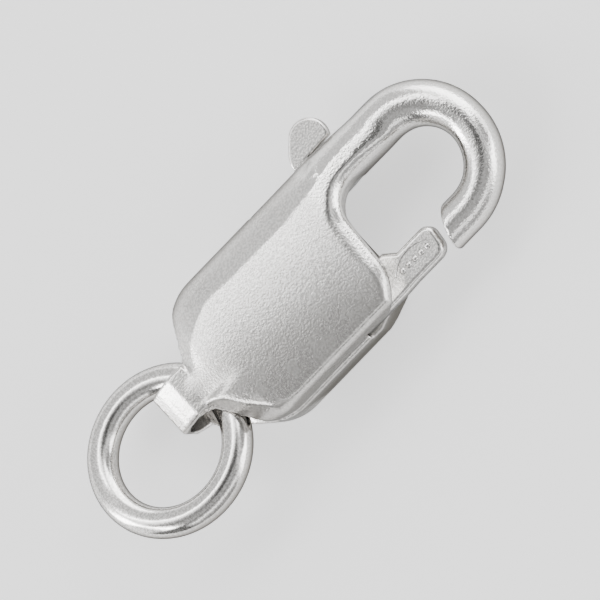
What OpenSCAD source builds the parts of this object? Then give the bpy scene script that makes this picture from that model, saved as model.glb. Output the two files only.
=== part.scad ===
// Lobster clasp with a sprung lever and a jump ring.
// +Y runs along the clasp from the ring to the hook, +X points to the side of the gate,
// and +Z comes out of the domed front. The flat back lies on z = 0.

/* [Case] */
// Width of the case
case_w = 5.05; // [4.7:0.05:5.4]
// Thickness of the case
case_t = 2.9; // [2.7:0.05:3.2]
// Length of the case from the pivot line down to the bend of its tail
tail_len = 4.3; // [4.2:0.05:4.8]
// Length of the case from the pivot line up to its lip at the eye
lip_y = 2.92; // [2.8:0.02:3.1]
// Radius of the rounded lip at the eye
lip_r = 0.36; // [0.2:0.02:0.4]
// Depth of the round on the lever side's edges
edge_r = 0.27; // [0.15:0.01:0.35]
// Width of the rolled side away from the gate
roll_w = 0.96; // [0.7:0.02:1.1]
// Rise of the domed front over its edges
crown = 0.12; // [0.05:0.01:0.2]
// Radius of the lower corners in plan
corner_r = 1.7; // [1.4:0.1:2]
// Thickness of the wall on the rolled side
side_wall = 0.75; // [0.6:0.05:0.9]

/* [Hook] */
// Radius of the hook's bend, to the middle of the bar
hook_r = 1.82; // [1.7:0.01:1.9]
// Height of the bend's centre above the pivot line
hook_y = 5.55; // [5.5:0.05:6.2]
// Thickness of the bar at the crest of the hook
bar_t = 1.27; // [1.1:0.01:1.35]
// Thickness of the bar where it leaves the case
bar_root_t = 1.5; // [1.4:0.02:1.6]
// Thickness of the bar at the hook's tip
bar_tip_t = 1.32; // [1.2:0.02:1.4]
// Depth of the bar, front to back, where it leaves the case
bar_root_d = 2.66; // [2.4:0.02:2.7]
// Length of the straight nose below the bend
nose_len = 1.04; // [0.96:0.02:1.08]
// Slant of the cut across the hook's tip
tip_slant = 22; // [10:1:26]

/* [Tail loop] */
// Width of the tail
tail_w = 1.46; // [1.3:0.02:1.6]
// Thickness of the tail over both of its walls
tail_t = 2.3; // [2.2:0.05:2.4]
// Length of the tail below its bend
bend_len = 0.88; // [0.7:0.02:1]
// Radius of the hollow that the jump ring passes through
hollow_r = 0.81; // [0.8:0.01:0.84]
// Extra length of the hollow towards the ring
hollow_slack = 0.38; // [0.36:0.01:0.4]
// Growth of the hollow's radius towards its open sides
hollow_flare = 0.18; // [0.16:0.01:0.2]

/* [Lever] */
// Thickness of the lever
lever_t = 0.7; // [0.6:0.02:0.8]
// Width of the gate
gate_w = 1.04; // [0.95:0.01:1.1]
// Gap between the gate's tip and the hook's tip
gate_gap = 0.22; // [0.18:0.01:0.3]
// Distance of the pivot from the case's middle line
pivot_x = 1.56; // [1.45:0.01:1.6]
// Height of the pivot above the case's pivot line
pivot_y = 0.88; // [0.7:0.02:1]
// Radius of the pivot pin
pin_r = 0.3; // [0.2:0.01:0.35]
// How far the thumb tab stands out of the case
tab_out = 1.0; // [0.95:0.01:1.1]
// How far the lever swings when the tab is pressed
lever_swing = 24; // [15:1:24]

/* [Jump ring] */
// Outer diameter of the jump ring
ring_od = 5.3; // [5.1:0.05:5.6]
// Diameter of the ring's wire
wire_d = 0.94; // [0.86:0.02:0.96]
// Roll of the ring about the clasp's length
ring_roll = 15; // [0:1:16]
// Pitch of the ring about its crossing in the tail
ring_pitch = 5; // [0:1:10]

/* [Clearances] */
// Gap on each side of the lever in its slot
slot_gap = 0.06; // [0.04:0.01:0.1]
// Radial gap of the lever on its pin
pivot_gap = 0.05; // [0.02:0.01:0.08]
// Gap between the fixed pin and its seats
seat_gap = 0.02; // [0.01:0.005:0.04]
// Gap between the thumb tab and the case
tab_gap = 0.08; // [0.06:0.01:0.2]

/* [Hidden] */
silver = [0.86, 0.85, 0.84];
round_fn = 64;
mid_z = case_t / 2;
half_w = case_w / 2;
slot_t = lever_t + 2 * slot_gap;

// Lower outline of the case: side, corner arc, diagonal and fillet to the tail
diag_angle = 50.6;
half_tail = tail_w / 2;
corner_tan = corner_r * tan((90 - diag_angle) / 2);
diag_x = half_w - half_tail;
diag_end_y = -tail_len - 0.59;
corner_vertex_y = diag_end_y + diag_x * tan(diag_angle);
corner_y = corner_vertex_y + corner_tan;
corner_x = half_w - corner_r;
corner_end_y = corner_vertex_y - corner_tan * sin(diag_angle);
function diag_half(y) = half_tail + (y - diag_end_y) / tan(diag_angle);
function corner_half(y) = corner_x + sqrt(max(0, corner_r * corner_r - pow(y - corner_y, 2)));
function plan_half(y) =
    y > corner_y ? half_w
    : y > corner_end_y ? corner_half(y)
    : max(half_tail, diag_half(y));

// Lip of the case at the eye: it falls gently towards the gate and rounds off at its corner
lip_slope = 0.065;
lip_bend_x = 0.54 * half_w;
lip_fall = 0.19 * lip_y;
function lip_line(x) =
    lip_y - lip_slope * x
    - lip_fall * pow(max(0, (x - lip_bend_x) / (half_w - lip_bend_x)), 2);

// How the thickness falls from the case to its tail, as shares of the way down the tail
fall_top = -0.42 * tail_len;
function ease(t) = t * t * (3 - 2 * t);
function fall(y) = ease(min(1, max(0, (fall_top - y) / (fall_top + tail_len))));
tail_drop = (case_t - tail_t) / 2;
case_over = 0.36;
case_low = -tail_len - case_over;
over_drop = 0.16;
function over(y) = max(0, -tail_len - y) / case_over;
function front_z(y) = case_t - tail_drop * fall(y) - over_drop * over(y);
function back_z(y) = tail_drop * pow(fall(y), 2) + over_drop * over(y);

// One section of the case, a closed run of points seen along Y:
// the rolled side, the front with its crown, the gate side, the back
roll_steps = 8;
face_steps = 6;
edge_steps = 3;
function section_roll(hw, y) = min(roll_w - 0.6 * roll_w * fall(y), hw * 0.9);
function section_edge(y) = edge_r * (1 + 0.9 * sin(180 * fall(y)));
function case_section(hw, zf, zb, roll, edge, rise) =
    let (
        zm = (zf - rise + zb) / 2,
        rz = (zf - rise - zb) / 2,
        xr = -hw + roll,
        xe = hw - edge
    )
    concat(
        [for (i = [0 : roll_steps]) let (a = 270 - 180 * i / roll_steps)
            [xr + roll * cos(a), zm + rz * sin(a)]],
        [for (i = [1 : face_steps - 1]) let (s = i / face_steps)
            [xr + (xe - xr) * s, zf - rise + rise * sin(180 * s)]],
        [for (i = [0 : edge_steps]) let (a = 90 - 90 * i / edge_steps)
            [xe + edge * cos(a), zf - rise - edge + edge * sin(a)]],
        [for (i = [0 : edge_steps]) let (a = -90 * i / edge_steps)
            [xe + edge * cos(a), zb + edge + edge * sin(a)]]
    );

// Sections of the case: body rows, then rows that round off the lip
case_rows = 18;
lip_rows = 4;
body_top = lip_y - lip_r - 0.12;
function row_y(i) = case_low + (body_top - case_low) * i / case_rows;
function body_row(y) = [
    for (p = case_section(plan_half(y), front_z(y), back_z(y), section_roll(plan_half(y), y),
                          section_edge(y), crown * (1 - fall(y))))
        [p[0], y - (y > 0 ? (lip_y - lip_line(p[0])) * pow(y / body_top, 2) : 0), p[1]]
];
function lip_row(i) =
    let (
        a = 90 * i / lip_rows,
        inset = lip_r * (1 - cos(a)),
        lift = lip_r * sin(a)
    )
    [for (p = case_section(half_w, case_t - inset, inset, roll_w, edge_r, crown))
        [p[0], lip_line(p[0]) - lip_r + lift, p[1]]];
case_sections = concat([for (i = [0 : case_rows]) body_row(row_y(i))],
                       [for (i = [0 : lip_rows]) lip_row(i)]);

// Skin over a list of sections, closed with a fan at each end
module skin(sections) {
    n = len(sections[0]);
    m = len(sections);
    points = [for (s = sections) each s];
    centre_a = sum_points(sections[0]) / n;
    centre_b = sum_points(sections[m - 1]) / n;
    sides = [for (j = [0 : m - 2]) for (i = [0 : n - 1]) let (k = (i + 1) % n)
        each [[j * n + i, (j + 1) * n + k, j * n + k],
              [j * n + i, (j + 1) * n + i, (j + 1) * n + k]]];
    low = [for (i = [0 : n - 1]) [n * m, i, (i + 1) % n]];
    high = [for (i = [0 : n - 1]) [n * m + 1, (m - 1) * n + (i + 1) % n, (m - 1) * n + i]];
    polyhedron(concat(points, [centre_a, centre_b]), concat(sides, low, high), convexity = 6);
}
function sum_points(list, i = 0) = i >= len(list) ? [0, 0, 0] : list[i] + sum_points(list, i + 1);

// Bar of the hook. Each row: share of the way from the root to the tip, thickness in plan,
// depth front to back
root_y = 0.55 * lip_y;
root_x = -half_w + bar_root_t / 2 + 0.03;
bend_x = root_x + hook_r + 0.03;
bar_table = [
    [0.00, bar_root_t * 0.94, bar_root_d * 0.90],
    [0.12, bar_root_t * 1.00, bar_root_d * 1.00],
    [0.22, bar_root_t * 1.00, bar_root_d * 0.88],
    [0.32, bar_root_t * 1.00, bar_root_d * 0.71],
    [0.41, bar_root_t * 0.98, bar_root_d * 0.59],
    [0.52, bar_root_t * 0.91, bar_root_d * 0.52],
    [0.62, bar_t * 1.00, bar_t * 1.04],
    [0.80, bar_tip_t * 0.93, bar_t * 1.04],
    [0.90, bar_tip_t * 0.99, bar_tip_t * 1.04],
    [1.00, bar_tip_t * 1.00, bar_tip_t * 1.06]
];
function bar_at(s, column) = lookup(s, [for (row = bar_table) [row[0], row[column]]]);
rise_len = hook_y - root_y;
bend_arc = PI * hook_r;
bar_len = rise_len + bend_arc + nose_len;
// Point and turn of the bar's middle line at a share of its length
function bar_turn(s) = 180 * min(1, max(0, (s * bar_len - rise_len) / bend_arc));
function bar_point(s) =
    let (
        run = s * bar_len,
        turn = bar_turn(s),
        below = max(0, run - rise_len - bend_arc),
        up = min(run, rise_len)
    )
    [bend_x - hook_r * cos(turn), root_y + up + hook_r * sin(turn) - below, mid_z];
bar_sides = 18;
bar_rows = 34;
function bar_section(s) =
    let (
        c = bar_point(s),
        t = bar_turn(s),
        ra = bar_at(s, 1) / 2,
        rb = bar_at(s, 2) / 2
    )
    [for (i = [0 : bar_sides - 1]) let (a = 360 * i / bar_sides)
        c + [-cos(t) * ra * cos(a), sin(t) * ra * cos(a), rb * sin(a)]];
bar_sections = [for (i = [0 : bar_rows]) bar_section(i / bar_rows)];
tip_x = bend_x + hook_r;
tip_y = hook_y - nose_len;

// Heel that fills the corner between the bar and the lip of the case; its back rises to the lip
heel_r = 0.95;
heel_back = 0.35;
heel_front = 0.43 * bar_root_d;
heel_rise = 62;
eye_left_x = root_x + bar_root_t / 2;
module heel_plan() {
    difference() {
        translate([eye_left_x - 0.5 * bar_root_t, lip_y - heel_r])
            square([0.5 * bar_root_t + heel_r, 2 * heel_r - lip_slope * heel_r]);
        translate([eye_left_x + heel_r, lip_line(eye_left_x + heel_r) + heel_r])
            circle(r = heel_r, $fn = round_fn);
        translate([eye_left_x + heel_r, lip_y - 2 * heel_r]) square(4 * heel_r);
    }
}
module heel() {
    difference() {
        translate([0, 0, mid_z - heel_back]) linear_extrude(heel_back + heel_front) heel_plan();
        translate([eye_left_x, lip_y - 2 * heel_r, mid_z - heel_back]) rotate([0, -heel_rise, 0])
            translate([0, 0, -2 * heel_r]) cube([3 * heel_r, 4 * heel_r, 2 * heel_r]);
    }
}

// Side view of the tail below the bend: [z from the mid-plane, y]
tail_bottom = -tail_len - bend_len;
half_t = tail_t / 2;
tail_profile = [
    [half_t, -0.86 * tail_len],
    [half_t, -tail_len],
    [0.76 * half_t, -tail_len - 0.68 * bend_len],
    [0.56 * half_t, tail_bottom],
    [-0.4 * half_t, tail_bottom],
    [-0.88 * half_t, -tail_len - 0.6 * bend_len],
    [-half_t, -tail_len - 0.2 * bend_len],
    [-half_t, -0.86 * tail_len]
];
hollow_y = -tail_len + 0.58;
flare_x = 0.1;
flare_len = 0.66;
module ring_hollow() {
    translate([0, 0, mid_z]) rotate([0, 90, 0]) {
        for (y = [hollow_y, hollow_y - hollow_slack])
            translate([0, y, -half_w]) cylinder(r = hollow_r, h = case_w, $fn = round_fn);
        translate([-hollow_r, hollow_y - hollow_slack, -half_w])
            cube([2 * hollow_r, hollow_slack, case_w]);
        for (side = [0, 180]) translate([0, hollow_y - hollow_slack, 0]) rotate([side, 0, 0])
            translate([0, 0, flare_x]) {
                cylinder(r1 = hollow_r, r2 = hollow_r + hollow_flare, h = flare_len, $fn = round_fn);
                translate([0, 0, flare_len])
                    cylinder(r = hollow_r + hollow_flare, h = half_w - flare_len, $fn = round_fn);
            }
    }
}
module tail() {
    translate([half_tail, 0, mid_z]) rotate([0, -90, 0]) linear_extrude(tail_w)
        polygon(tail_profile);
}

// Space inside the case, seen from the front: open on the gate side, at the eye beside the
// gate and, through a window, where the thumb tab comes out
arm_w = 0.6;
arm_end_r = 0.27;
cavity_left = -half_w + side_wall;
cavity_low = -0.66 * tail_len;
arm_end_x = -half_w - 0.375;
arm_end_y = lip_y + 0.03;
arm_angle = atan2(arm_end_y - pivot_y, pivot_x - arm_end_x);
swing_clear = 0.06;
function arm_top(x) =
    pivot_y + (pivot_x - x) * tan(arm_angle) + arm_w / 2 / cos(arm_angle) + swing_clear;
window_low = pivot_y - (pivot_x + half_w) * tan(lever_swing - arm_angle) - arm_w / 2 - swing_clear;
eye_side_x = pivot_x - 1.25;
module cavity_plan() {
    polygon([
        [cavity_left, window_low],
        [cavity_left, 0.55 * cavity_low],
        [cavity_left + 0.9, cavity_low],
        [cavity_left + 0.9, hollow_y],
        [half_w + 1, hollow_y],
        [half_w + 1, lip_y + 1.4],
        [eye_side_x, lip_y + 1.4],
        [eye_side_x, lip_y - 0.45],
        [cavity_left + 0.5, arm_top(cavity_left + 0.5)],
        [-half_w - 1, arm_top(-half_w - 1)],
        [-half_w - 1, window_low]
    ]);
}

// The back wall stops short of the front lip, which hides its edge from the front,
// and slants off at its corner
back_step = 0.44;
back_slant = 19;
back_slant_y = 1.1;
module back_relief() {
    relief_t = 1 + mid_z + slot_t / 2;
    translate([-half_w + bar_root_t + 0.62, lip_y - back_step - lip_slope * half_w, -1])
        cube([case_w, 2 * back_step + 0.4, relief_t]);
    translate([half_w, back_slant_y, -1]) rotate(back_slant) cube([half_w, lip_y, relief_t]);
}

seat_depth = 0.5;
module pin_bore(r, extra) {
    translate([pivot_x, pivot_y, mid_z - slot_t / 2 - seat_depth - extra])
        cylinder(r = r, h = slot_t + 2 * (seat_depth + extra), $fn = round_fn);
}

// The tip is cut aslant, so that the gate's rounded end clears it as it swings in
module hook_tip_cut() {
    translate([tip_x + bar_tip_t / 2, tip_y, -1]) rotate(-tip_slant)
        translate([-1.5 * bar_tip_t, -2 * nose_len, 0])
            cube([2 * bar_tip_t, 2 * nose_len, case_t + 2]);
}

module body() {
    color(silver) difference() {
        union() {
            skin(case_sections);
            difference() {
                skin(bar_sections);
                hook_tip_cut();
            }
            heel();
            tail();
        }
        back_relief();
        translate([0, 0, mid_z - slot_t / 2]) linear_extrude(slot_t) cavity_plan();
        ring_hollow();
        pin_bore(pin_r + seat_gap, seat_gap);
    }
}

// Lever in plan
gate_inset = 0.12;
gate_x = tip_x + bar_tip_t / 2 - gate_w - gate_inset;
gate_top = tip_y + bar_tip_t * tan(tip_slant) / 2 - gate_gap;
gate_round = 0.3;
gate_fall = 0.07;
boss_r = pin_r + 0.24;
tab_r = 0.64;
tab_y = lip_y + 0.58;
module gate_plan() {
    hull() {
        translate([gate_x + gate_round, gate_top - gate_round]) circle(r = gate_round, $fn = 32);
        translate([gate_x + gate_w - gate_round, gate_top - gate_round - gate_fall])
            circle(r = gate_round, $fn = 32);
        translate([gate_x, pivot_y]) square([gate_w, 0.2]);
    }
}
module shoulder_plan() {
    polygon([
        [gate_x, lip_y + 0.24],
        [gate_x - 0.3, lip_y - 0.12],
        [pivot_x - 0.6, pivot_y],
        [pivot_x, pivot_y - boss_r],
        [gate_x + gate_w, pivot_y - 0.1],
        [gate_x + gate_w, lip_y]
    ]);
}
module arm_plan() {
    translate([pivot_x, pivot_y]) circle(r = boss_r, $fn = 32);
    hull() {
        translate([pivot_x, pivot_y]) circle(r = arm_w / 2, $fn = 32);
        translate([arm_end_x, arm_end_y]) circle(r = arm_end_r, $fn = 32);
    }
}
// Round thumb tab, cut straight beside the case
module tab_plan() {
    intersection() {
        hull() {
            translate([-half_w - tab_out + tab_r, tab_y]) circle(r = tab_r, $fn = round_fn);
            translate([arm_end_x, arm_end_y]) circle(r = arm_end_r, $fn = 32);
        }
        translate([-half_w - 2 * tab_out, 0]) square([2 * tab_out - tab_gap, 2 * tab_y]);
    }
}

// Pointed oval sunk in the gate, with a raised row of pellets in it
oval_w = 0.62;
oval_len = 1.8;
oval_depth = 0.06;
oval_r = (oval_len * oval_len + oval_w * oval_w) / (4 * oval_w);
oval_y = gate_top - 1.1;
pellet_r = 0.075;
pellet_step = 0.27;
module gate_oval(z) {
    translate([gate_x + gate_w / 2, oval_y, z]) intersection() {
        translate([oval_r - oval_w / 2, 0, 0]) cylinder(r = oval_r, h = 1, $fn = 4 * round_fn);
        translate([oval_w / 2 - oval_r, 0, 0]) cylinder(r = oval_r, h = 1, $fn = 4 * round_fn);
    }
}
module pellets(z) {
    for (i = [-2 : 2])
        translate([gate_x + gate_w / 2, oval_y + i * pellet_step, z])
            cylinder(r = pellet_r, h = oval_depth, $fn = 32);
}

module lever() {
    lever_z = mid_z - lever_t / 2;
    color(silver) union() {
        difference() {
            translate([0, 0, lever_z]) linear_extrude(lever_t) union() {
                gate_plan();
                shoulder_plan();
                arm_plan();
                tab_plan();
            }
            gate_oval(lever_z + lever_t - oval_depth);
            pin_bore(pin_r + pivot_gap, 0);
        }
        pellets(lever_z + lever_t - oval_depth);
    }
}

module pivot_pin() {
    color(silver) pin_bore(pin_r, 0);
}

ring_r = (ring_od - wire_d) / 2;
ring_x = 0.74;
ring_sag = 0.1;
module jump_ring() {
    // Turned about its crossing in the tail, where it lies loosely in the hollow
    color(silver) translate([0, hollow_y - ring_sag, mid_z]) rotate([-ring_pitch, -ring_roll, 0])
        translate([ring_x, -sqrt(ring_r * ring_r - ring_x * ring_x), 0])
            rotate_extrude($fn = 2 * round_fn)
                translate([ring_r, 0]) circle(d = wire_d, $fn = round_fn);
}

body();
lever();
pivot_pin();
jump_ring();
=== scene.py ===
import bpy
import bmesh
import math
from mathutils import Matrix, Vector


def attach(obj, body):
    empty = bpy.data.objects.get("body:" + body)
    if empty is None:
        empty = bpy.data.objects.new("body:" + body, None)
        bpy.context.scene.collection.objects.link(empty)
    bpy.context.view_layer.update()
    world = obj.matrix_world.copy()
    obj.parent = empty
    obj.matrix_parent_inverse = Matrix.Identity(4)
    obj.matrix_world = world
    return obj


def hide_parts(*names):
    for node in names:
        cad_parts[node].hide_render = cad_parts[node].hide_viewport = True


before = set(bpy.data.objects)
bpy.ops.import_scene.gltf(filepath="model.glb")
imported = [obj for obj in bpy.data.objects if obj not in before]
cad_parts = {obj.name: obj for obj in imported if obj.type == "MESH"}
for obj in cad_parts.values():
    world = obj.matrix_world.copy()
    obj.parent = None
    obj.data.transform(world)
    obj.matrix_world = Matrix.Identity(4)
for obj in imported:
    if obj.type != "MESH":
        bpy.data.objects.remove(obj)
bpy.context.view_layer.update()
mm = 0.001  # shapes are drawn in millimetres and stored in metres


# Small helpers

def between(rows, y, column):
    # value of a column at y, from a table of rows whose first entry is y
    if y <= rows[0][0]:
        return rows[0][column]
    for low, high in zip(rows, rows[1:]):
        if y <= high[0]:
            share = (y - low[0]) / (high[0] - low[0])
            return low[column] + (high[column] - low[column]) * share
    return rows[-1][column]


def ease(t):
    # 0 below 0, 1 above 1, with a smooth change between
    t = min(1.0, max(0.0, t))
    return t * t * (3 - 2 * t)


def curveRun(p0, p1, p2, p3, count):
    # points along a Bezier curve, without its last one
    run = []
    for i in range(count):
        t = i / count
        s = 1 - t
        run.append(tuple(s ** 3 * a + 3 * s * s * t * b + 3 * s * t * t * c + t ** 3 * d
                         for a, b, c, d in zip(p0, p1, p2, p3)))
    return run


def arcRun(centre, radius, start, end, count):
    # points along an arc, with both its ends; start and end are in degrees
    return [(centre[0] + radius * math.cos(math.radians(start + (end - start) * i / count)),
             centre[1] + radius * math.sin(math.radians(start + (end - start) * i / count)))
            for i in range(count + 1)]


def loft(rings):
    # closed skin over rings of points: a grid is laid out, wrapped round and closed at its ends
    bm = bmesh.new()
    around, along = len(rings[0]), len(rings)
    bmesh.ops.create_grid(bm, x_segments=around, y_segments=along - 1, size=1)
    for v in bm.verts:
        i = round((v.co.x + 1) / 2 * around) % around
        j = round((v.co.y + 1) / 2 * (along - 1))
        v.co = rings[j][i]
    bmesh.ops.remove_doubles(bm, verts=bm.verts, dist=1e-5)
    bmesh.ops.holes_fill(bm, edges=bm.edges, sides=0)
    bmesh.ops.recalc_face_normals(bm, faces=bm.faces)
    return bm


def prism(outline, low, high, edge=0.0, segments=3, axis="z"):
    # outline pulled from low to high along the axis, with its rims bevelled where an edge is given
    bm = bmesh.new()
    face = bm.faces.new([bm.verts.new((x, y, low)) for x, y in outline])
    pulled = bmesh.ops.extrude_face_region(bm, geom=[face])
    top = [g for g in pulled["geom"] if isinstance(g, bmesh.types.BMVert)]
    bmesh.ops.translate(bm, verts=top, vec=(0, 0, high - low))
    bmesh.ops.recalc_face_normals(bm, faces=bm.faces)
    if edge:
        rims = [e for e in bm.edges if abs(e.verts[0].co.z - e.verts[1].co.z) < 1e-6]
        bmesh.ops.bevel(bm, geom=rims, offset=edge, offset_type="OFFSET", affect="EDGES",
                        segments=segments, profile=0.5, material=-1, clamp_overlap=True)
    if axis == "x":
        # the outline was given as (y, z)
        for v in bm.verts:
            v.co = (v.co.z, v.co.x, v.co.y)
        bmesh.ops.recalc_face_normals(bm, faces=bm.faces)
    return bm


def drum(radius, low, high, place):
    # cylinder along X, from x = low to x = high, about the line (y, z) = place
    bm = bmesh.new()
    bmesh.ops.create_cone(bm, cap_ends=True, segments=96, radius1=radius, radius2=radius,
                          depth=high - low)
    bmesh.ops.rotate(bm, verts=bm.verts, matrix=Matrix.Rotation(math.pi / 2, 3, "Y"))
    bmesh.ops.translate(bm, verts=bm.verts, vec=((low + high) / 2, place[0], place[1]))
    return bm


def toObject(name, meshes):
    # one object from one or several bmeshes
    whole = bpy.data.meshes.new(name)
    bm = bmesh.new()
    for part in meshes:
        spare = bpy.data.meshes.new("spare")
        part.to_mesh(spare)
        part.free()
        bm.from_mesh(spare)
        bpy.data.meshes.remove(spare)
    bm.to_mesh(whole)
    bm.free()
    made = bpy.data.objects.new(name, whole)
    bpy.context.scene.collection.objects.link(made)
    return made


def takeMesh(made):
    # the object's mesh as a bmesh, in place of the object
    bm = bmesh.new()
    bm.from_mesh(made.data)
    bpy.data.objects.remove(made)
    return bm


def bake(made):
    # the object's modifiers are worked into its mesh
    graph = bpy.context.evaluated_depsgraph_get()
    done = bpy.data.meshes.new_from_object(made.evaluated_get(graph))
    made.modifiers.clear()
    old = made.data
    made.data = done
    bpy.data.meshes.remove(old)
    return made


def cut(made, cutter):
    # the cutter's shape is taken out of the object, and the cutter is gone
    carve = made.modifiers.new("cut", "BOOLEAN")
    carve.operation = "DIFFERENCE"
    carve.solver = "EXACT"
    carve.object = cutter
    bake(made)
    bpy.data.objects.remove(cutter)
    return made


def melt(made, voxel, rounds):
    # overlapping shapes run together into one skin, and its edges soften
    skin = made.modifiers.new("melt", "REMESH")
    skin.mode = "VOXEL"
    skin.voxel_size = voxel
    skin.adaptivity = 0.0
    soft = made.modifiers.new("soften", "SMOOTH")
    soft.factor = 0.5
    soft.iterations = rounds
    return bake(made)


def finishPiece(made, body, node, material):
    # metres, smooth shading but for flat faces of many corners, material, body and node
    bm = bmesh.new()
    bm.from_mesh(made.data)
    bmesh.ops.scale(bm, vec=(mm,) * 3, verts=bm.verts)
    for f in bm.faces:
        f.smooth = len(f.verts) < 6
    bm.to_mesh(made.data)
    bm.free()
    made.data.materials.clear()
    made.data.materials.append(material)
    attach(made, body)
    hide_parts(node)
    return made


# Shader maths

class Wire:
    # a node's output that can be added, multiplied and so on
    def __init__(self, tree, out=None):
        self.tree = tree
        self.out = out

    def node(self, kind, settings=None, sockets=None, out=0):
        made = self.tree.nodes.new(kind)
        for name, value in (settings or {}).items():
            if name == "stops":
                for i, (at, colour) in enumerate(value):
                    stop = made.color_ramp.elements[i] if i < 2 else made.color_ramp.elements.new(at)
                    stop.position = at
                    stop.color = colour
            elif name == "blend":
                made.color_ramp.interpolation = value
            else:
                setattr(made, name, value)
        for name, value in (sockets or {}).items():
            if isinstance(value, Wire):
                self.tree.links.new(value.out, made.inputs[name])
            else:
                made.inputs[name].default_value = value
        return Wire(self.tree, made.outputs[out]) if len(made.outputs) else None

    def maths(self, operation, a, b):
        return self.node("ShaderNodeMath", {"operation": operation}, {0: a, 1: b})

    def dot(self, way):
        return self.node("ShaderNodeVectorMath", {"operation": "DOT_PRODUCT"}, {0: self, 1: way}, out="Value")

    def __add__(self, other):
        return self.maths("ADD", self, other)

    def __sub__(self, other):
        return self.maths("SUBTRACT", self, other)

    def __rsub__(self, other):
        return self.maths("SUBTRACT", other, self)

    def __mul__(self, other):
        return self.maths("MULTIPLY", self, other)

    __radd__ = __add__
    __rmul__ = __mul__


def step(value, low, high):
    # 0 at low, 1 at high, with a smooth change between; high may be the smaller number
    return value.node("ShaderNodeMapRange", {"interpolation_type": "SMOOTHSTEP"},
                      {"Value": value, "From Min": low, "From Max": high})


def blend(share, first, second):
    return first + share * (second - first)


def freshTree(owner):
    # the node tree of a material or a world, emptied
    owner.use_nodes = True
    owner.node_tree.nodes.clear()
    return Wire(owner.node_tree)


# Silver

silverLook = {
    # bright and dull silver, the dark colour of the painted shade, and the tint at grazing edges
    "bright": (0.88, 0.865, 0.845, 1), "dull": (0.54, 0.528, 0.51, 1), "paintedShade": (0.30, 0.288, 0.27, 1),
    "edgeTint": (0.2, 0.2, 0.2, 1),
    # slow changes over a piece, the grain, and the grain's height in metres
    "driftScale": 520.0, "grainScale": 15000.0, "grainHeight": 0.00003,
    # part of the grain that shows as grit, and its share of the colour beside the drift's
    "grit": (0.36, 0.64), "gritShare": 0.7, "driftShare": 0.3,
    # how far the roughness drifts, on worn and on polished metal
    "wornDrift": 0.08, "polishedDrift": 0.06,
}


def silver(name, grain, rough, clear, zones=(), shade=None):
    # silver with a fine grain and painted shade: its colour is painted darker below and lit above;
    # clear is a direction and the two heights along it, in mm, between which the painted shade gives way to
    # the lit colour
    look = silverLook
    made = bpy.data.materials.new(name)
    start = freshTree(made)
    place = start.node("ShaderNodeTexCoord", out="Object")

    def stepAlong(way, low, high):
        return step(place.dot(way), low * mm, high * mm)

    drift = start.node("ShaderNodeTexNoise", {"noise_dimensions": "3D"},
                       {"Vector": place, "Scale": look["driftScale"], "Detail": 3.0, "Roughness": 0.55})
    fine = start.node("ShaderNodeTexNoise", {"noise_dimensions": "3D"},
                      {"Vector": place, "Scale": look["grainScale"], "Detail": 1.0, "Roughness": 0.6})
    bright = stepAlong(*clear)
    grit = step(fine, *look["grit"])
    gloss = drift * look["wornDrift"] + (rough - look["wornDrift"] / 2)
    for zone in zones:
        # a polished part of the piece, whose surface is smoother than the rest, with its own heights for the
        # painted shade
        polished = stepAlong(*zone["where"])
        bright = blend(polished, bright, stepAlong(*zone["clear"]))
        smoother = drift * look["polishedDrift"] + (zone["rough"] - look["polishedDrift"] / 2)
        gloss = blend(polished, gloss, smoother)
        grit = blend(polished, grit, grit * 0.5 + 0.5)
    if shade:
        # painted shade on one side
        bright = bright - stepAlong(*shade["where"]) * shade["depth"] * bright
    metal = start.node("ShaderNodeMix", {"data_type": "RGBA"},
                       {"Factor": grit * look["gritShare"] + drift * look["driftShare"],
                        6: look["dull"], 7: look["bright"]}, out=2)
    # painted shade: where bright is low, the colour is mixed towards the dark painted-shade colour
    colour = start.node("ShaderNodeMix", {"data_type": "RGBA"},
                        {"Factor": bright, 6: look["paintedShade"], 7: metal}, out=2)
    bump = start.node("ShaderNodeBump",
                      sockets={"Strength": grain, "Distance": look["grainHeight"], "Height": fine})
    shader = start.node("ShaderNodeBsdfPrincipled", sockets={
        "Base Color": colour, "Metallic": 1.0, "Roughness": gloss, "Normal": bump,
        "Specular Tint": look["edgeTint"]})
    start.node("ShaderNodeOutputMaterial", sockets={"Surface": shader})
    return made


# the hook and the end of the tail are polished and keep their own heights for the painted shade, and the
# lower right of the front has painted shade
hookPolish = {"where": ((0, 1, 0), 2.35, 2.9), "clear": ((0, 0, 1), 1.25, 2.05), "rough": 0.15}
tailPolish = {"where": ((0, -1, -1), 1.0, 1.6), "clear": ((0, 0, 1), -2.0, -1.0), "rough": 0.24}
rightShade = {"where": ((1.0, -0.35, 1.5), 4.2, 5.8), "depth": 0.45}
# painted shade: each piece is painted darker below the heights given as its clear
caseSilver = silver("caseSilver", 0.30, 0.28, ((0.2, 0, 1), 0.9, 2.3),
                    zones=[hookPolish, tailPolish], shade=rightShade)
leverSilver = silver("leverSilver", 0.14, 0.22, ((0, 0, 1), 0.4, 1.4))
pinSilver = silver("pinSilver", 0.08, 0.24, ((0, 0, 1), 0.0, 1.0))


# Case, hook and tail: one soldered piece

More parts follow.
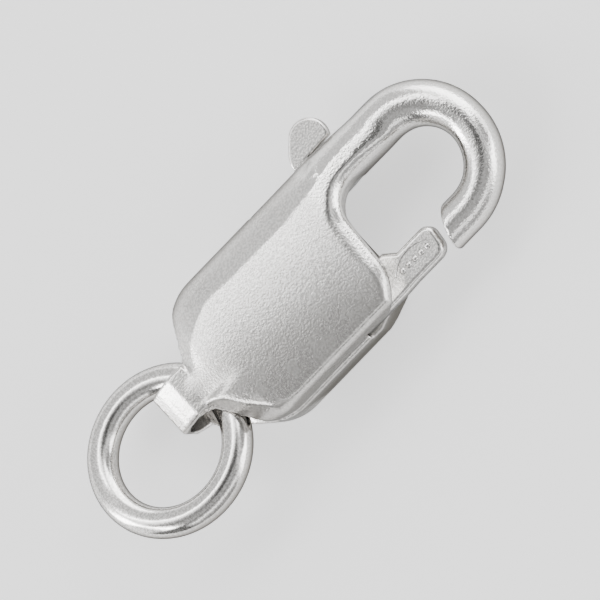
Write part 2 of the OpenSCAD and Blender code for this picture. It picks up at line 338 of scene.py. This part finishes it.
caseShape = {
    "halfWidth": 2.525, "thick": 2.9, "low": -4.66, "top": 5.6, "rows": 190,
    "lip": 2.92, "lipSlope": 0.065, "lipBend": 1.364, "lipFall": 0.555, "lipRound": 0.36, "lipWide": 0.43,
    "heel": 0.95, "barInner": -0.995, "slot": (1.04, 1.86),
    "cornerRound": 1.7, "tailHalf": 0.73, "tailEnd": -4.89, "diagonal": 50.6,
    # how much the case narrows beside the hook, from which y and over what length
    "waist": 0.08, "waistFrom": 3.0, "waistOver": 2.2,
    # how far the front and the back close in on the tail, and the last bend over the ring
    "tailDrop": 0.3, "fallFrom": -2.2, "fallOver": 2.1, "backFrom": -1.806, "backOver": 2.494,
    "overDrop": 0.16, "overFrom": -4.3, "overOver": 0.36,
    # rise of the domed front, what the tail takes off it, and where it runs out
    "crown": 0.12, "crownFall": 0.45, "crownEnd": -4.7, "crownOver": 1.2,
    # round of the back's left edge, its most as a share of the half width, and what the tail takes off;
    # the tilt in degrees of the left side where it meets the front
    "roll": 0.95, "rollShare": 0.9, "rollFall": 0.4, "rollTilt": 28,
    # right of the tail's tongue the front stays high up to its rim
    "liftShare": 0.9, "liftFrom": 0.5, "liftOver": 0.4,
    "rimSlope": 0.32, "rimSteeper": 0.4, "rimFrom": -1.9,
    # round of the right side's edges, and the handles of its curve at the back
    "corner": 0.25, "cornerPull": (0.11, 0.14),
    # y, left edge of the front, right edge of its flat part, rim of the front above the gate side
    "face": [(-4.66, -0.30, 0.56, 0.68), (-4.20, -0.31, 0.58, 0.74), (-3.90, -0.37, 0.62, 0.92),
             (-3.62, -0.30, 0.74, 1.15), (-3.40, -0.45, 0.92, 1.42), (-3.02, -0.96, 1.48, 1.85),
             (-2.46, -1.22, 2.10, 2.20), (-1.90, -1.44, 2.28, 2.36), (-1.50, -1.46, 2.30, 2.395),
             (-0.80, -1.40, 2.30, 2.395), (1.60, -1.39, 2.30, 2.395), (2.62, -1.50, 2.30, 2.395),
             (3.19, -1.62, 2.30, 2.395), (3.75, -1.74, 2.30, 2.395), (5.20, -1.86, 2.30, 2.395)],
    # y, half of the depth where the case runs into the hook's bar
    "depth": [(2.60, 1.45), (3.20, 1.40), (3.80, 1.27), (4.40, 1.14), (5.00, 1.02), (5.40, 0.91),
              (5.60, 0.80)],
    # grain of the skin in which case, strap and bar run together, and of the finished one
    "roughSkin": 0.04, "skin": 0.052,
}
midZ = caseShape["thick"] / 2
neckY = caseShape["depth"][0][0]


def planHalf(y):
    # half of the case's width: straight sides, round corners, and diagonals down to the tail
    c = caseShape
    slope = math.tan(math.radians(c["diagonal"]))
    vertexY = c["tailEnd"] + (c["halfWidth"] - c["tailHalf"]) * slope
    tangent = c["cornerRound"] * math.tan(math.radians((90 - c["diagonal"]) / 2))
    cornerY = vertexY + tangent
    if y > cornerY:
        return c["halfWidth"] - c["waist"] * ease((y - c["waistFrom"]) / c["waistOver"])
    if y > vertexY - tangent * math.sin(math.radians(c["diagonal"])):
        return c["halfWidth"] - c["cornerRound"] + math.sqrt(
            max(0.0, c["cornerRound"] ** 2 - (y - cornerY) ** 2))
    return max(c["tailHalf"], c["tailHalf"] + (y - c["tailEnd"]) / slope)


def fallAt(y):
    # 0 on the case's front, 1 on the tail
    return ease((caseShape["fallFrom"] - y) / caseShape["fallOver"])


def overAt(y):
    return max(0.0, caseShape["overFrom"] - y) / caseShape["overOver"]


def frontZ(y):
    c = caseShape
    if y > neckY:
        return midZ + between(c["depth"], y, 1)
    return c["thick"] - c["tailDrop"] * fallAt(y) - c["overDrop"] * overAt(y)


def backZ(y):
    c = caseShape
    if y > neckY:
        return midZ - between(c["depth"], y, 1)
    return c["tailDrop"] * ease((c["backFrom"] - y) / c["backOver"]) ** 2 + c["overDrop"] * overAt(y)


def caseRing(y):
    # one section of the case, from the back round the left side, the front and the right side
    c = caseShape
    half, high, low = planHalf(y), frontZ(y), backZ(y)
    mid = (high + low) / 2
    crease, right, rim = (between(c["face"], y, k) for k in (1, 2, 3))
    fall = fallAt(y)
    rise = c["crown"] * (1 - c["crownFall"] * fall) * min(1.0, (y - c["crownEnd"]) / c["crownOver"])
    level = high - rise
    roll = min(c["roll"], c["rollShare"] * half) * (1 - c["rollFall"] * fall)
    wide = crease + half
    tilt = math.radians(c["rollTilt"])
    lift = c["liftShare"] * c["tailDrop"] * fall

    def lifted(x):
        return lift * ease((x - c["liftFrom"]) / c["liftOver"])

    edge = level + lifted(right)
    rimZ = edge - (c["rimSlope"] + c["rimSteeper"] * ease(c["rimFrom"] - y)) * (rim - right)
    flank = half - rim
    corner = c["corner"]
    drop = corner + flank
    pullUp, pullIn = c["cornerPull"]
    # left side
    ring = curveRun((-half + roll, low), (-half + 0.45 * roll, low),
                    (-half, mid - 0.5 * (mid - low)), (-half, mid), 12)
    ring += curveRun((-half, mid), (-half, mid + 0.55 * (level - mid)),
                     (crease - 0.55 * wide * math.cos(tilt), level - 0.55 * wide * math.sin(tilt)),
                     (crease, level), 18)
    # domed front, and the slope to its rim
    count = 24
    for i in range(count):
        x = crease + (right - crease) * i / count
        ring.append((x, level + rise * 4 * (i / count) * (1 - i / count) + lifted(x)))
    ring += [(right + (rim - right) * i / 6, edge + (rimZ - edge) * i / 6) for i in range(6)]
    # right side and back
    ring += curveRun((rim, rimZ), (rim + 0.6 * flank, rimZ - 0.5 * flank), (half, rimZ - 0.5 * drop),
                     (half, rimZ - drop), 10)
    ring += [(half, rimZ - drop + (low + corner - rimZ + drop) * i / 8) for i in range(8)]
    ring += curveRun((half, low + corner), (half, low + pullUp), (half - pullIn, low),
                     (half - corner, low), 6)
    ring += [(half - corner + (-half + roll - half + corner) * i / 18, low) for i in range(18)]
    return [(x, y, z) for x, z in ring]


def lipLine(x):
    # the lip falls gently towards the gate and rounds off at its corner
    c = caseShape
    y = c["lip"] - c["lipSlope"] * x
    if x > c["lipBend"]:
        y -= c["lipFall"] * ((x - c["lipBend"]) / (c["halfWidth"] - c["lipBend"])) ** 2
    return y


eyeShape = {
    # right and upper ends of the cutter, and the x from which its lower side is level
    "right": 3.4, "top": 6.6, "levelFrom": 2.9,
    # round of the rim at the back, and what the corner under the bar adds to it
    "backRound": 0.36, "heelRound": 0.85,
    # up the bar's inner side the front's rim is rounder and wider, and its crease fades
    "barSide": -0.5, "upFrom": 3.1, "upOver": 1.3, "upRound": 0.46, "upWide": 0.13,
    "creased": 1.25, "fade": 0.25,
    # least half depth at which the rims are rounded, and how far the cutter stands out past them
    "leastDeep": 1.1, "past": 1.2,
}


def eyeOutline():
    # the lip from the right, the heel's quarter circle, the bar, the top and the right end
    c, e = caseShape, eyeShape
    outline = [(x, lipLine(min(x, e["levelFrom"])))
               for x in [e["right"] - e["right"] * i / 40 for i in range(40)]]
    centre = (c["barInner"] + c["heel"], lipLine(0) + c["heel"])
    outline += arcRun(centre, c["heel"], 270, 180, 24)
    outline += [(c["barInner"], centre[1] + (e["top"] - centre[1]) * i / 20) for i in range(1, 21)]
    outline += [(c["barInner"] + (e["right"] - c["barInner"]) * i / 10, e["top"]) for i in range(1, 11)]
    levelY = lipLine(e["levelFrom"])
    outline += [(e["right"], e["top"] + (levelY - e["top"]) * i / 10) for i in range(1, 10)]
    return outline, centre


def eyeCutter():
    # what is open above the lip and beside the bar, with the round of its rim
    c, e = caseShape, eyeShape
    outline, centre = eyeOutline()
    outward = []
    for i in range(len(outline)):
        ax, ay = outline[i - 1]
        bx, by = outline[(i + 1) % len(outline)]
        along = Vector((bx - ax, by - ay)).normalized()
        # the outline runs clockwise, so its outward side is on the left of its run
        outward.append(Vector((-along.y, along.x)))
    backRound = [e["backRound"] + e["heelRound"] * ease((centre[0] - x) / c["heel"]) for x, _ in outline]
    upBar = [ease((y - e["upFrom"]) / e["upOver"]) if x < e["barSide"] else 0.0 for x, y in outline]

    def ringAt(high, turn, extra=0.0):
        ring = []
        for (x, y), out, soft, up in zip(outline, outward, backRound, upBar):
            r = c["lipRound"] + e["upRound"] * up if high else soft
            power = e["creased"] - e["fade"] * up if high else 1.0
            grow = (c["lipWide"] + e["upWide"] * up if high else r) * (1 - math.cos(turn) ** power)
            deep = max(between(c["depth"], y, 1), e["leastDeep"])
            level = midZ + (deep - r + r * abs(math.sin(turn)) ** power) * (1 if high else -1)
            ring.append((x + out.x * grow, y + out.y * grow, level + extra))
        return ring

    steps = 8
    turns = [math.pi / 2 * k / steps for k in range(steps + 1)]
    rings = [ringAt(False, turns[-1], -e["past"])]
    rings += [ringAt(False, turn) for turn in reversed(turns)]
    rings += [ringAt(True, turn) for turn in turns]
    rings.append(ringAt(True, turns[-1], e["past"]))
    return toObject("eyeCutter", [loft(rings)])


hookShape = {
    "bend": 1.85, "rise": 5.47, "centre": 0.135, "start": 2.2, "nose": 0.95, "slant": 23, "tipThick": 1.32,
    # run along the bar, width, depth, squareness of its section on the eye's side and on the outer side
    "bar": [(0.0, 1.10, 1.80, 3.2, 1.85), (0.7, 1.40, 2.40, 3.3, 1.85), (1.0, 1.44, 2.52, 3.3, 1.85),
            (1.6, 1.45, 1.96, 2.6, 1.85), (2.2, 1.46, 1.86, 2.5, 1.9), (2.8, 1.48, 1.76, 2.4, 1.95),
            (3.8, 1.47, 1.62, 2.2, 2.0), (5.0, 1.37, 1.41, 2.1, 2.0), (6.1, 1.27, 1.32, 2.0, 2.0),
            (8.0, 1.23, 1.32, 2.0, 2.0), (9.1, 1.31, 1.37, 2.0, 2.0), (10.2, 1.32, 1.40, 2.0, 2.0)],
    "rows": 120, "around": 64,
    # block that cuts the tip aslant: its left, right and lower ends from the tip's outer corner, and heights
    "blockLeft": -1.9, "blockRight": 0.7, "blockLow": -2.2, "blockHeights": (-1, 4),
    # the bar's root is smoothed left of an x and in front of a z: first and last y, rounds
    "rootRight": -0.6, "rootFront": 1.6, "rootPasses": [(4.4, 6.1, 20), (4.8, 5.9, 45)],
}


def squarish(angle, power):
    # a point of a rounded square of half width 1
    c, s = math.cos(angle), math.sin(angle)
    grow = (abs(c) ** power + abs(s) ** power) ** (-1 / power)
    return c * grow, s * grow


def hookBar():
    # the bar rises, bends over and comes down to its slanted tip
    h = hookShape
    straight = h["rise"] - h["start"]
    arc = math.pi * h["bend"]
    total = straight + arc + h["nose"]
    rings = []
    for j in range(h["rows"] + 1):
        run = total * j / h["rows"]
        turn = math.pi * min(1.0, max(0.0, (run - straight) / arc))
        up = min(run, straight)
        below = max(0.0, run - straight - arc)
        middle = Vector((h["centre"] - h["bend"] * math.cos(turn),
                         h["start"] + up + h["bend"] * math.sin(turn) - below, midZ))
        ra, rb = between(h["bar"], run, 1) / 2, between(h["bar"], run, 2) / 2
        ring = []
        for i in range(h["around"]):
            angle = 2 * math.pi * i / h["around"]
            column = 4 if math.cos(angle) > 0 else 3
            power = between(h["bar"], run, column) if math.sin(angle) > 0 else 2.0
            out, front = squarish(angle, power)
            offset = Vector((-math.cos(turn) * ra * out, math.sin(turn) * ra * out, rb * front))
            ring.append(tuple(middle + offset))
        rings.append(ring)
    bar = toObject("hookBar", [loft(rings)])
    tipX, tipY = h["centre"] + h["bend"], h["rise"] - h["nose"]
    left, right, low = h["blockLeft"], h["blockRight"], h["blockLow"]
    block = prism([(left, low), (right, low), (right, 0), (left, 0)], *h["blockHeights"])
    bmesh.ops.rotate(block, verts=block.verts, matrix=Matrix.Rotation(-math.radians(h["slant"]), 3, "Z"))
    bmesh.ops.translate(block, verts=block.verts, vec=(tipX + h["tipThick"] / 2, tipY, 0))
    return cut(bar, toObject("block", [block]))


tailShape = {
    # y, z: front, bend, bottom and back of the strap
    "strap": [(-3.70, 2.60), (-4.30, 2.60), (-4.84, 2.33), (-5.17, 2.08), (-5.17, 0.99), (-4.83, 0.44),
              (-4.48, 0.30), (-3.70, 0.30)],
    "half": 0.73, "edge": 0.05, "hollowY": -3.72, "hollow": 0.81, "reach": 3,
    # how far the mouths lie below the hollow, how far they widen, and from where to where
    "slack": 0.38, "flare": 0.18, "flareFrom": 0.1, "flareTo": 0.76,
}

slotShape = {
    # left side and bottom of the slot, down to the tail's hollow
    "left": [(-1.775, 0.584), (-1.775, -1.561), (-0.875, -2.838), (-0.875, -3.72)],
    # openings at the gate, at the eye and for the thumb tab
    "openings": [(3.525, 0.84), (3.525, 4.32), (0.31, 4.32), (0.31, 2.47), (-1.275, 2.587),
                 (-3.525, 3.632), (-3.525, 0.584)],
    # below the gate the slot keeps a wall, whose seam shows on the outside
    "wall": 0.26, "wallFrom": -2.9, "wallLong": 3.62,
    "seamDeep": 0.09, "seamFrom": -3.3, "seamTo": 1.0, "seamOut": 3.5, "seamHeights": (1.2, 1.7),
    # behind the gate the back wall slants off
    "backCorner": [(2.525, 1.1), (4.5, 1.1), (4.5, 3.2), (1.80, 3.2)],
}

reliefShape = {
    # x, height of the lip's edge on its underside
    "edge": [(-1.3, 0.1), (-1.15, 0.6), (-1.0, 1.5), (-0.93, 1.72), (-0.8, 1.88), (-0.5, 2.14),
             (-0.19, 2.36), (0.2, 2.45), (0.8, 2.45), (1.4, 2.45), (1.7, 2.45), (2.0, 2.45), (2.3, 2.42),
             (2.6, 2.38), (2.9, 2.38)],
    # highest y of the back wall, its least distance from the lip, and how far in the slant begins
    "backWall": 2.316, "backInset": 0.36, "slantInset": 0.34, "levelFrom": 2.6,
    "far": 3.9, "below": -1.0,
}


def alongSide(inset, start, length, count):
    # points that run up the case's right side, the inset inside it
    return [(planHalf(y) - inset, y) for y in [start + length * i / count for i in range(count + 1)]]


def cavityCutter():
    # the slot that the lever lies in, open at the gate, at the eye and where the tab comes out
    s = slotShape
    side = alongSide(s["wall"], s["wallFrom"], s["wallLong"], 16)
    bottom = s["left"][-1][1]
    outline = s["left"] + [(side[0][0], bottom)] + side + s["openings"]
    return toObject("cavityCutter", [prism(outline, *caseShape["slot"])])


def seamCutter():
    # below the gate the slot shows on the side as a shallow seam
    s = slotShape
    side = alongSide(s["seamDeep"], s["seamFrom"], s["seamTo"] - s["seamFrom"], 24)
    outline = side + [(s["seamOut"], s["seamTo"]), (s["seamOut"], s["seamFrom"])]
    return toObject("seamCutter", [prism(outline, *s["seamHeights"])])


def lipRelief():
    # the back wall stops short of the lip, and the lip's underside slants back to the slot
    r = reliefShape
    hair = 0.01
    rings = []
    for x, top in r["edge"]:
        lip = lipLine(min(x, r["levelFrom"]))
        slot = min(caseShape["slot"][1], top - 2 * hair)
        wall = min(r["backWall"], lip - r["backInset"])
        section = [(wall, r["below"]), (wall, slot - hair), (lip - r["slantInset"], slot), (lip - hair, top),
                   (r["far"], top + hair), (r["far"], r["below"])]
        rings.append([(x, y, z) for y, z in section])
    return toObject("lipRelief", [loft(rings)])


def clearTail(made):
    # a round channel across the tail for the ring, wider at both its mouths
    t = tailShape
    reach, near, far = t["reach"], t["flareFrom"], t["flareTo"]
    cut(made, toObject("hollow", [drum(t["hollow"], -reach, reach, (t["hollowY"], midZ))]))
    wide = t["hollow"] + t["flare"]
    # the mouths' corners are turned a hair from the hollow's
    twist = 0.01
    rings = []
    for x, radius in [(-reach, wide), (-far, wide), (-near, t["hollow"]), (near, t["hollow"]), (far, wide),
                      (reach, wide)]:
        rings.append([(x, t["hollowY"] - t["slack"] + radius * math.cos(twist + math.pi * i / 48),
                       midZ + radius * math.sin(twist + math.pi * i / 48)) for i in range(96)])
    return cut(made, toObject("mouths", [loft(rings)]))


def smoothRoot(case):
    # the bar grows out of the case without a seam
    h = hookShape
    bm = bmesh.new()
    bm.from_mesh(case.data)
    for start, end, rounds in h["rootPasses"]:
        root = [v for v in bm.verts
                if v.co.x < h["rootRight"] and start < v.co.y < end and v.co.z > h["rootFront"]]
        for _ in range(rounds):
            bmesh.ops.smooth_vert(bm, verts=root, factor=0.5,
                                  use_axis_x=True, use_axis_y=True, use_axis_z=True)
    bm.to_mesh(case.data)
    bm.free()


def buildCase():
    c, t = caseShape, tailShape
    rows = [c["low"] + (c["top"] - c["low"]) * j / c["rows"] for j in range(c["rows"] + 1)]
    shell = toObject("caseShell", [loft([caseRing(y) for y in rows])])
    cut(shell, eyeCutter())
    strap = toObject("strap", [prism(t["strap"], -t["half"], t["half"], edge=t["edge"], axis="x")])
    bar = hookBar()
    case = toObject("claspCase", [takeMesh(piece) for piece in (shell, strap, bar)])
    melt(case, c["roughSkin"], 1)
    cut(case, cavityCutter())
    cut(case, seamCutter())
    cut(case, toObject("corner", [prism(slotShape["backCorner"], -1, c["slot"][1])]))
    cut(case, lipRelief())
    clearTail(case)
    melt(case, c["skin"], 2)
    smoothRoot(case)
    return finishPiece(case, "case", "body", caseSilver)


print("building the case")
claspCase = buildCase()
print("case triangles", 2 * len(claspCase.data.polygons))


# Lever

leverShape = {
    "low": 1.10, "high": 1.80, "gateLow": 1.24, "gateLeft": 1.40, "gateWidth": 1.04, "gateTop": 4.44,
    "edge": 0.14, "gateLean": 84, "roundLeft": 0.32, "roundRight": 0.42, "roundRightDown": 0.46,
    # shoulder at the gate's foot: width, its y, and the y where the gate's own side starts
    "shoulder": 0.30, "shoulderY": 2.80, "footLeft": 3.16, "footRight": 3.0,
    # part of the gate inside the case, round the pivot
    "foot": [(2.465, 2.5), (2.465, 0.88), (1.70, 0.40), (1.30, 0.40), (1.0, 0.88)],
    "ovalWide": 0.68, "ovalLong": 1.62, "ovalDown": 1.0, "ovalDepth": 0.06,
    # small round pellets in a row, 2 * pelletSide + 1 of them
    "pellet": 0.1, "pelletFlat": 0.6, "pelletStep": 0.26, "pelletSide": 2,
    "pivot": (1.56, 0.88), "armEnd": (-2.90, 2.95), "armWide": 0.6, "armTip": 0.27, "armEdge": 0.04,
    "armThinner": 0.02,
    # thumb tab: a disc cut straight beside the bar, with the start and end of its arc, and its foot
    "tabCentre": (-2.945, 3.47), "tabRound": 0.625, "tabTurn": (58, 218), "tabHigh": 1.47,
    "tabHigher": 0.05, "tabEdge": 0.07,
    "tabFoot": [(-3.31, 2.96), (-3.17, 2.81), (-2.98, 2.64), (-2.77, 2.53), (-2.54, 2.49)],
}


def gateOutline():
    s = leverShape
    left, right, top = s["gateLeft"], s["gateLeft"] + s["gateWidth"], s["gateTop"]
    small, large = s["roundLeft"], s["roundRight"]
    run = [(left - s["shoulder"], s["shoulderY"]), (left, s["footLeft"])]
    run += arcRun((left + small, top - small), small, 180, s["gateLean"], 10)
    run += arcRun((right - large, top - s["roundRightDown"]), large, s["gateLean"], 0, 10)
    run += [(right, s["footRight"])] + s["foot"]
    # the run is clockwise so far
    return run[::-1]


def pointedOval(middle, wide, long):
    # two arcs that meet in a point above and below
    reach = (long ** 2 + wide ** 2) / (4 * wide)
    spread = math.degrees(math.asin(long / 2 / reach))
    oval = arcRun((middle[0] + reach - wide / 2, middle[1]), reach, 180 + spread, 180 - spread, 24)
    oval += arcRun((middle[0] - reach + wide / 2, middle[1]), reach, spread, -spread, 24)[1:-1]
    return oval[::-1]


def buildGate():
    # the gate with its sunk oval, and the row of pellets in it
    s = leverShape
    gate = toObject("gate", [prism(gateOutline(), s["gateLow"], s["high"], edge=s["edge"], segments=4)])
    middle = (s["gateLeft"] + s["gateWidth"] / 2, s["gateTop"] - s["ovalDown"])
    sunk = s["high"] - s["ovalDepth"]
    oval = pointedOval(middle, s["ovalWide"], s["ovalLong"])
    cut(gate, toObject("oval", [prism(oval, sunk, s["high"] + 0.5)]))
    parts = [takeMesh(gate)]
    for i in range(-s["pelletSide"], s["pelletSide"] + 1):
        pellet = bmesh.new()
        bmesh.ops.create_icosphere(pellet, subdivisions=3, radius=s["pellet"])
        bmesh.ops.scale(pellet, vec=(1, 1, s["pelletFlat"]), verts=pellet.verts)
        bmesh.ops.translate(pellet, verts=pellet.verts,
                            vec=(middle[0], middle[1] + i * s["pelletStep"], sunk))
        parts.append(pellet)
    return parts


def buildLever():
    s = leverShape
    parts = buildGate()
    # arm, a hair thinner than the gate, and hidden in the case
    px, py = s["pivot"]
    ex, ey = s["armEnd"]
    lean = math.degrees(math.atan2(ey - py, ex - px))
    arm = arcRun(s["pivot"], s["armWide"] / 2, lean - 90, lean - 270, 16)
    arm += arcRun(s["armEnd"], s["armTip"], lean + 90, lean - 90, 16)
    thinner = s["armThinner"]
    parts.append(prism(arm, s["low"] + thinner, s["tabHigh"] - thinner, edge=s["armEdge"]))
    # thumb tab, drawn down to the arm
    tab = arcRun(s["tabCentre"], s["tabRound"], *s["tabTurn"], 40) + s["tabFoot"]
    parts.append(prism(tab, s["low"] + s["tabHigher"], s["tabHigh"], edge=s["tabEdge"], segments=4))
    lever = toObject("claspLever", parts)
    return finishPiece(lever, "lever", "lever", leverSilver)


print("building the lever")
claspLever = buildLever()


# Jump ring

ringShape = {
    "radius": 2.18, "wire": 0.47, "hold": (0, -3.82, 1.45),
    # how far the ring's middle lies to the right of its hold, and its roll and pitch in degrees
    "offset": 0.74, "roll": 15, "pitch": 5,
    # painted shade on the ring's lower side gives way to the lit colour between these heights above the
    # ring's own plane
    "clear": (-0.05, 0.34),
}


def buildRing():
    r = ringShape
    rolled = Matrix.Rotation(-math.radians(r["roll"]), 3, "Y")
    turn = rolled @ Matrix.Rotation(-math.radians(r["pitch"]), 3, "X")
    axis = turn @ Vector((0, 0, 1))
    level = axis.dot(Vector(r["hold"]))
    low, high = r["clear"]
    # the ring is painted darker on its lower side: painted shade
    ringSilver = silver("ringSilver", 0.07, 0.14, (tuple(axis), level + low, level + high))
    bm = bmesh.new()
    made = bmesh.ops.create_circle(bm, segments=40, radius=r["wire"], cap_ends=False)
    bmesh.ops.rotate(bm, verts=made["verts"], matrix=Matrix.Rotation(math.pi / 2, 3, "X"))
    bmesh.ops.translate(bm, verts=made["verts"], vec=(r["radius"], 0, 0))
    bmesh.ops.spin(bm, geom=bm.verts[:] + bm.edges[:], cent=(0, 0, 0), axis=(0, 0, 1), angle=2 * math.pi,
                   steps=200, use_merge=True)
    bmesh.ops.remove_doubles(bm, verts=bm.verts, dist=1e-5)
    bmesh.ops.recalc_face_normals(bm, faces=bm.faces)
    off = r["offset"]
    bmesh.ops.translate(bm, verts=bm.verts, vec=(off, -math.sqrt(r["radius"] ** 2 - off ** 2), 0))
    bmesh.ops.rotate(bm, verts=bm.verts, matrix=turn)
    bmesh.ops.translate(bm, verts=bm.verts, vec=r["hold"])
    ring = toObject("jumpRing", [bm])
    return finishPiece(ring, "ring", "jump_ring", ringSilver)


print("building the jump ring")
jumpRing = buildRing()

# the hidden pin keeps its own solid
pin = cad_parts["pivot_pin"]
pin.data.materials.clear()
pin.data.materials.append(pinSilver)


# Floor, light and camera

# grey on the picture (0-255), light that gives it
toneTable = [(87, 0.1), (108, 0.15), (124, 0.2), (136, 0.25), (145, 0.3), (160, 0.4), (170, 0.5), (177, 0.6),
             (189, 0.8), (197, 1.0), (205, 1.3), (211, 1.6), (217, 2.0), (223, 2.5), (227, 3.0), (233, 4.0),
             (237, 5.0), (241, 6.0), (245, 8.0), (251, 12.0), (255, 16.0)]

studio = {
    "right": Vector((0.6616, 0.6755, -0.3256)), "up": Vector((-0.7145, 0.6997, 0.0)),
    "back": Vector((0.2278, 0.2326, 0.9455)), "target": Vector((0.244, 0.0, 1.448)) * mm,
    "distance": 0.6, "view": 17.52 * mm, "sensor": 36, "clip": (0.01, 10),
    "floor": 0.4, "paper": ((0.46, 0.46, 0.46, 1), (0.5, 0.5, 0.5, 1)),
    # directions across and along the clasp, against which a mirror's slope is measured
    "across": (0.9723, 0.0, -0.2342), "along": (-0.0543, 0.9726, -0.2262),
    # share of the light that the metal gives back, and the span of the logarithms of brightness
    "mirror": 0.8, "logLow": 3.0, "logSpan": 7.0,
    # slope across the clasp or along it, grey that a mirror of that slope shows
    "sides": [(-1.0, 150), (-0.9, 175), (-0.8, 192), (-0.5, 192), (-0.44, 205), (-0.4, 244), (-0.35, 228),
              (-0.3, 220), (-0.234, 190), (-0.17, 162), (-0.11, 142), (-0.02, 166), (0.1, 170), (0.17, 150),
              (0.26, 185), (0.33, 222), (0.4, 200), (0.48, 165), (0.7, 160), (1.0, 150)],
    "stripes": [(-0.95, 170), (-0.8, 215), (-0.62, 200), (-0.48, 252), (-0.38, 250), (-0.26, 160),
                (0.15, 215), (0.3, 190), (0.42, 150), (0.55, 225), (0.7, 252), (0.85, 225), (1.0, 165)],
    "ends": [(-0.98, 165), (-0.88, 195), (-0.76, 226), (-0.52, 228), (-0.36, 195), (-0.28, 190),
             (0.1, 190), (0.2, 205), (0.32, 238), (0.7, 245), (1.0, 200)],
    # dimmer cards below: change across, change along, depth
    "dimCards": [((-0.04, 0.1), (-0.86, -0.74), 0.2), ((-0.17, -0.07), (-0.85, -0.7), 0.2),
                 ((-0.25, -0.15), (-0.52, -0.44), 0.08)],
    # a bright card that the strap picks up and a dark one for the lip's roll: their four sides, and depth
    "strapCard": ([("along", -0.48, -0.56), ("along", -0.8, -0.72), ("across", -0.38, -0.3),
                   ("across", -0.1, -0.17)], 0.2),
    "lipCard": ([("across", -0.31, -0.27), ("across", -0.02, -0.14), ("along", -0.17, -0.08),
                 ("along", 0.2, 0.1)], 0.18),
    # changes along from the sides' panels to the ends', above and below, and to the cards below
    "endsAbove": (0.12, 0.26), "endsBelow": (-0.38, -0.5), "cardsFrom": (-0.3, -0.4),
    # dimming past the left of the cards: change across, depth; half width of the stripes' strip
    "leftDim": (-0.34, -0.48), "leftDepth": 0.12, "stripHalf": (0.1, 0.2),
}


def buildFloor():
    bm = bmesh.new()
    bmesh.ops.create_grid(bm, x_segments=1, y_segments=1, size=studio["floor"])
    floor = toObject("floor", [bm])
    paper = bpy.data.materials.new("paper")
    start = freshTree(paper)
    place = start.node("ShaderNodeTexCoord", out="Object")
    drift = start.node("ShaderNodeTexNoise", sockets={"Vector": place, "Scale": 60.0, "Detail": 3.0})
    darker, lighter = studio["paper"]
    colour = start.node("ShaderNodeMix", {"data_type": "RGBA"},
                        {"Factor": drift, 6: darker, 7: lighter}, out=2)
    shader = start.node("ShaderNodeBsdfPrincipled", sockets={
        "Base Color": colour, "Roughness": 0.9, "Emission Color": (1, 1, 1, 1), "Emission Strength": 1.0})
    start.node("ShaderNodeOutputMaterial", sockets={"Surface": shader})
    floor.data.materials.append(paper)


def buildWorld():
    # a light tent: bright and dim panels stand round the object, fixed in the room
    world = bpy.data.worlds.new("tent")
    bpy.context.scene.world = world
    start = freshTree(world)
    ray = start.node("ShaderNodeTexCoord", out="Generated")
    toLens = tuple(studio["back"])
    logLow, logSpan = studio["logLow"], studio["logSpan"]
    # the panels are laid out by the slope of a surface that would mirror them to the front of the tent
    slope = start.node("ShaderNodeVectorMath", {"operation": "ADD"}, {0: ray, 1: toLens})
    slope = start.node("ShaderNodeVectorMath", {"operation": "NORMALIZE"}, {0: slope})
    across, along = slope.dot(studio["across"]), slope.dot(studio["along"])

    def panels(value, stops):
        # the panels' brightness is mixed by its logarithm, which keeps the steps between greys even
        table = []
        for at, grey in stops:
            level = (math.log(between(toneTable, grey, 1) / studio["mirror"]) + logLow) / logSpan
            table.append(((at + 1) / 2, (level, level, level, 1)))
        return start.node("ShaderNodeValToRGB", {"stops": table, "blend": "EASE"}, {"Fac": value * 0.5 + 0.5})

    def card(changes, depth):
        # 0 outside the card and depth inside it
        ways = {"across": across, "along": along}
        inside, *others = [step(ways[way], low, high) for way, low, high in changes]
        for other in others:
            inside = inside * other
        return inside * depth

    sides = panels(across, studio["sides"])
    stripes = panels(along, studio["stripes"])
    low = step(along, *studio["cardsFrom"])
    # below, a bright card in the middle and dimmer ones on both sides of it
    ends = panels(along, studio["ends"]) - low * step(across, *studio["leftDim"]) * studio["leftDepth"]
    for acrossChange, alongChange, depth in studio["dimCards"]:
        ends = ends - low * step(across, *acrossChange) * step(along, *alongChange) * depth
    ends = ends + card(*studio["strapCard"])
    middle = start.maths("ABSOLUTE", across, 0.0)
    ends = blend(step(middle, *studio["stripHalf"]), stripes, ends)
    level = blend(step(along, *studio["endsBelow"]), sides, ends)
    level = blend(step(along, *studio["endsAbove"]), level, ends)
    level = start.maths("EXPONENT", (level - card(*studio["lipCard"])) * logSpan - logLow, 0.0)
    light = start.node("ShaderNodeBackground", sockets={"Color": (1, 1, 1, 1), "Strength": level})
    start.node("ShaderNodeOutputWorld", sockets={"Surface": light})


def buildCamera():
    lens = bpy.data.cameras.new("camera")
    camera = bpy.data.objects.new("camera", lens)
    bpy.context.scene.collection.objects.link(camera)
    lens.sensor_width = studio["sensor"]
    lens.lens = studio["sensor"] * studio["distance"] / studio["view"]
    lens.clip_start, lens.clip_end = studio["clip"]
    turned = Matrix((studio["right"], studio["up"], studio["back"])).transposed().to_4x4()
    camera.matrix_world = Matrix.Translation(studio["target"] + studio["back"] * studio["distance"]) @ turned
    bpy.context.scene.camera = camera


print("setting the stage")
buildFloor()
buildWorld()
buildCamera()
